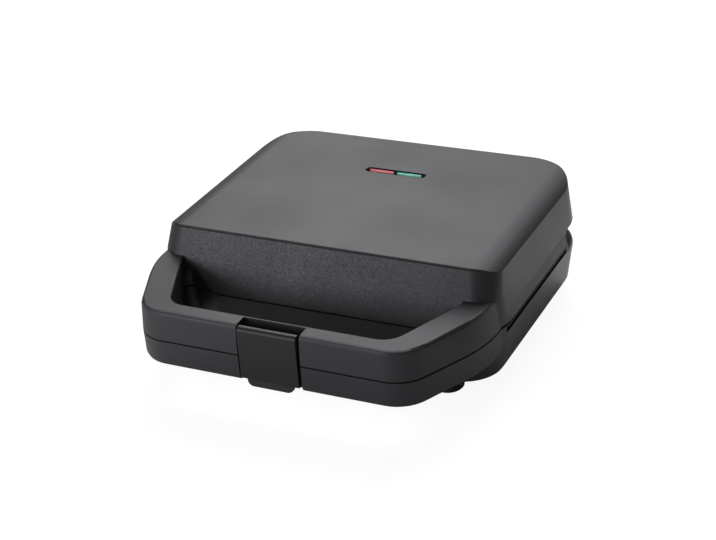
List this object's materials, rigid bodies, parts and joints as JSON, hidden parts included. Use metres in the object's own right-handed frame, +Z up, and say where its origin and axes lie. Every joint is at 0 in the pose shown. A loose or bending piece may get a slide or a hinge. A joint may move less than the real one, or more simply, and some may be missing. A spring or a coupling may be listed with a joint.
{
  "type": "sandwich toaster",
  "caption": "Electric sandwich toaster with a hinged lid, triangular-pocket plates, a loop handle split between lid and base, a front swing latch and indicator lights.",
  "frame": {"origin": "centre of the closed toaster's footprint box, on the surface it stands on", "axes": "+X to the right seen from the front, +Y from the handle towards the hinge, +Z up"},
  "size_m": [0.2396, 0.247, 0.0818],
  "materials": {
    "lid_housing": "matt",
    "base_housing": "matt",
    "inner_frame": "satin",
    "cooking_plate": "non-stick coated",
    "heating_element": "oxidised",
    "sheet_metal": "mill finish",
    "steel": "zinc plated",
    "ceramic": "matt",
    "black_plastic": "satin",
    "foot_rubber": "matt",
    "red_lens": "translucent",
    "green_lens": "translucent",
    "lamp_glass": "clear",
    "latch_plastic": "matt"
  },
  "bodies": {
    "base": {"tub_shell": "base_housing", "tub_frame": "inner_frame", "tub_plate": "cooking_plate", "tub_heater": "heating_element", "tub_reflector": "sheet_metal", "tub_reflector_screws": "steel", "tub_frame_screws": "steel", "terminal_block": "ceramic", "cable_entry": "black_plastic", "hinge_pins": "steel", "feet": "foot_rubber", "foot_screws": "steel"},
    "lid": {"lid_shell": "lid_housing", "lid_frame": "inner_frame", "lid_plate": "cooking_plate", "lid_heater": "heating_element", "lid_reflector": "sheet_metal", "lid_reflector_screws": "steel", "lid_frame_screws": "steel", "thermostat": "ceramic", "thermal_fuse": "sheet_metal", "indicator_bezel": "black_plastic", "red_lens": "red_lens", "green_lens": "green_lens", "neon_lamps": "lamp_glass", "latch_pin": "steel"},
    "latch": {"latch": "latch_plastic"}
  },
  "joints": [
    {"name": "lid_hinge", "type": "hinge", "parent": "base", "child": "lid", "pos_m": [0, 0.11695, 0.051], "axis": [-1, 0, 0], "range_deg": [0, 100]},
    {"name": "latch_pivot", "type": "hinge", "parent": "lid", "child": "latch", "pos_m": [0, -0.11645, 0.052], "axis": [-1, 0, 0], "range_deg": [0, 30]}
  ]
}
